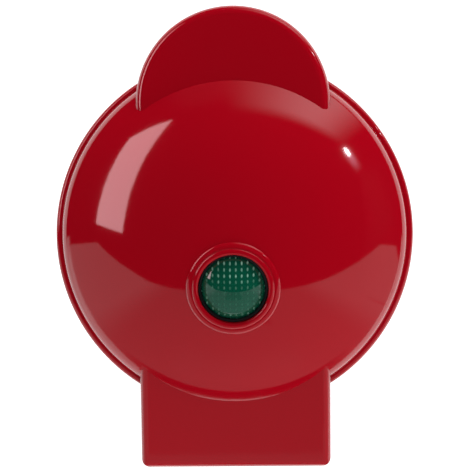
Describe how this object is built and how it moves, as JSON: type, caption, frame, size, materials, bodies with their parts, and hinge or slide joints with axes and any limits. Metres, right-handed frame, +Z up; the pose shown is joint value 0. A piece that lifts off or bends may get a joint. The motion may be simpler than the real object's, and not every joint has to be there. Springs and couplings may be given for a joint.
{
  "type": "mini waffle maker",
  "caption": "Round countertop waffle maker with a domed hinged lid, handle tabs, studded non-stick plates and an indicator lens.",
  "frame": {"origin": "centre of the bounding box, on the worktop under the feet", "axes": "+Z up, -Y to the handle at the front, +Y to the hinge at the back, +X to the right seen with the handle towards the viewer"},
  "size_m": [0.127, 0.1632, 0.0729],
  "materials": {
    "red_plastic": "high gloss",
    "green_lens": "prismatic, clear tint",
    "pale_plastic": "satin",
    "lamp_glass": "clear",
    "coated_cast": "non-stick coating",
    "sheet_metal": "mill",
    "steel": "plated",
    "bush_brass": "turned",
    "black_rubber": "matt"
  },
  "bodies": {
    "base": {"base_shell": "red_plastic", "bottom_cover": "red_plastic", "hinge_bush_left": "bush_brass", "hinge_bush_right": "bush_brass", "cord_gland": "black_rubber", "terminal_block": "pale_plastic", "foot_1": "black_rubber", "foot_2": "black_rubber", "foot_3": "black_rubber", "foot_4": "black_rubber", "cover_screw_1": "steel", "cover_screw_2": "steel", "cover_screw_3": "steel", "cover_screw_4": "steel", "base_frame": "red_plastic", "lower_plate": "coated_cast", "lower_heating_element": "steel", "lower_heat_shield": "sheet_metal", "thermal_fuse": "sheet_metal", "lower_plate_screw_1": "steel", "lower_plate_screw_2": "steel", "lower_plate_screw_3": "steel"},
    "lid": {"lid_cover": "red_plastic", "handle_underplate": "red_plastic", "indicator_lens": "green_lens", "lens_retaining_ring": "pale_plastic", "indicator_board": "pale_plastic", "indicator_lamp": "lamp_glass", "hinge_pin_left": "steel", "hinge_pin_right": "steel", "lid_frame_screw_1": "steel", "lid_frame_screw_2": "steel", "lid_frame": "red_plastic", "upper_plate": "coated_cast", "upper_heating_element": "steel", "upper_heat_shield": "sheet_metal", "thermostat": "pale_plastic", "upper_plate_screw_1": "steel", "upper_plate_screw_2": "steel", "upper_plate_screw_3": "steel"}
  },
  "joints": [
    {"name": "lid_hinge", "type": "hinge", "parent": "base", "child": "lid", "pos_m": [0, 0.07565, 0.033], "axis": [-1, 0, 0], "range_deg": [0, 95]}
  ]
}
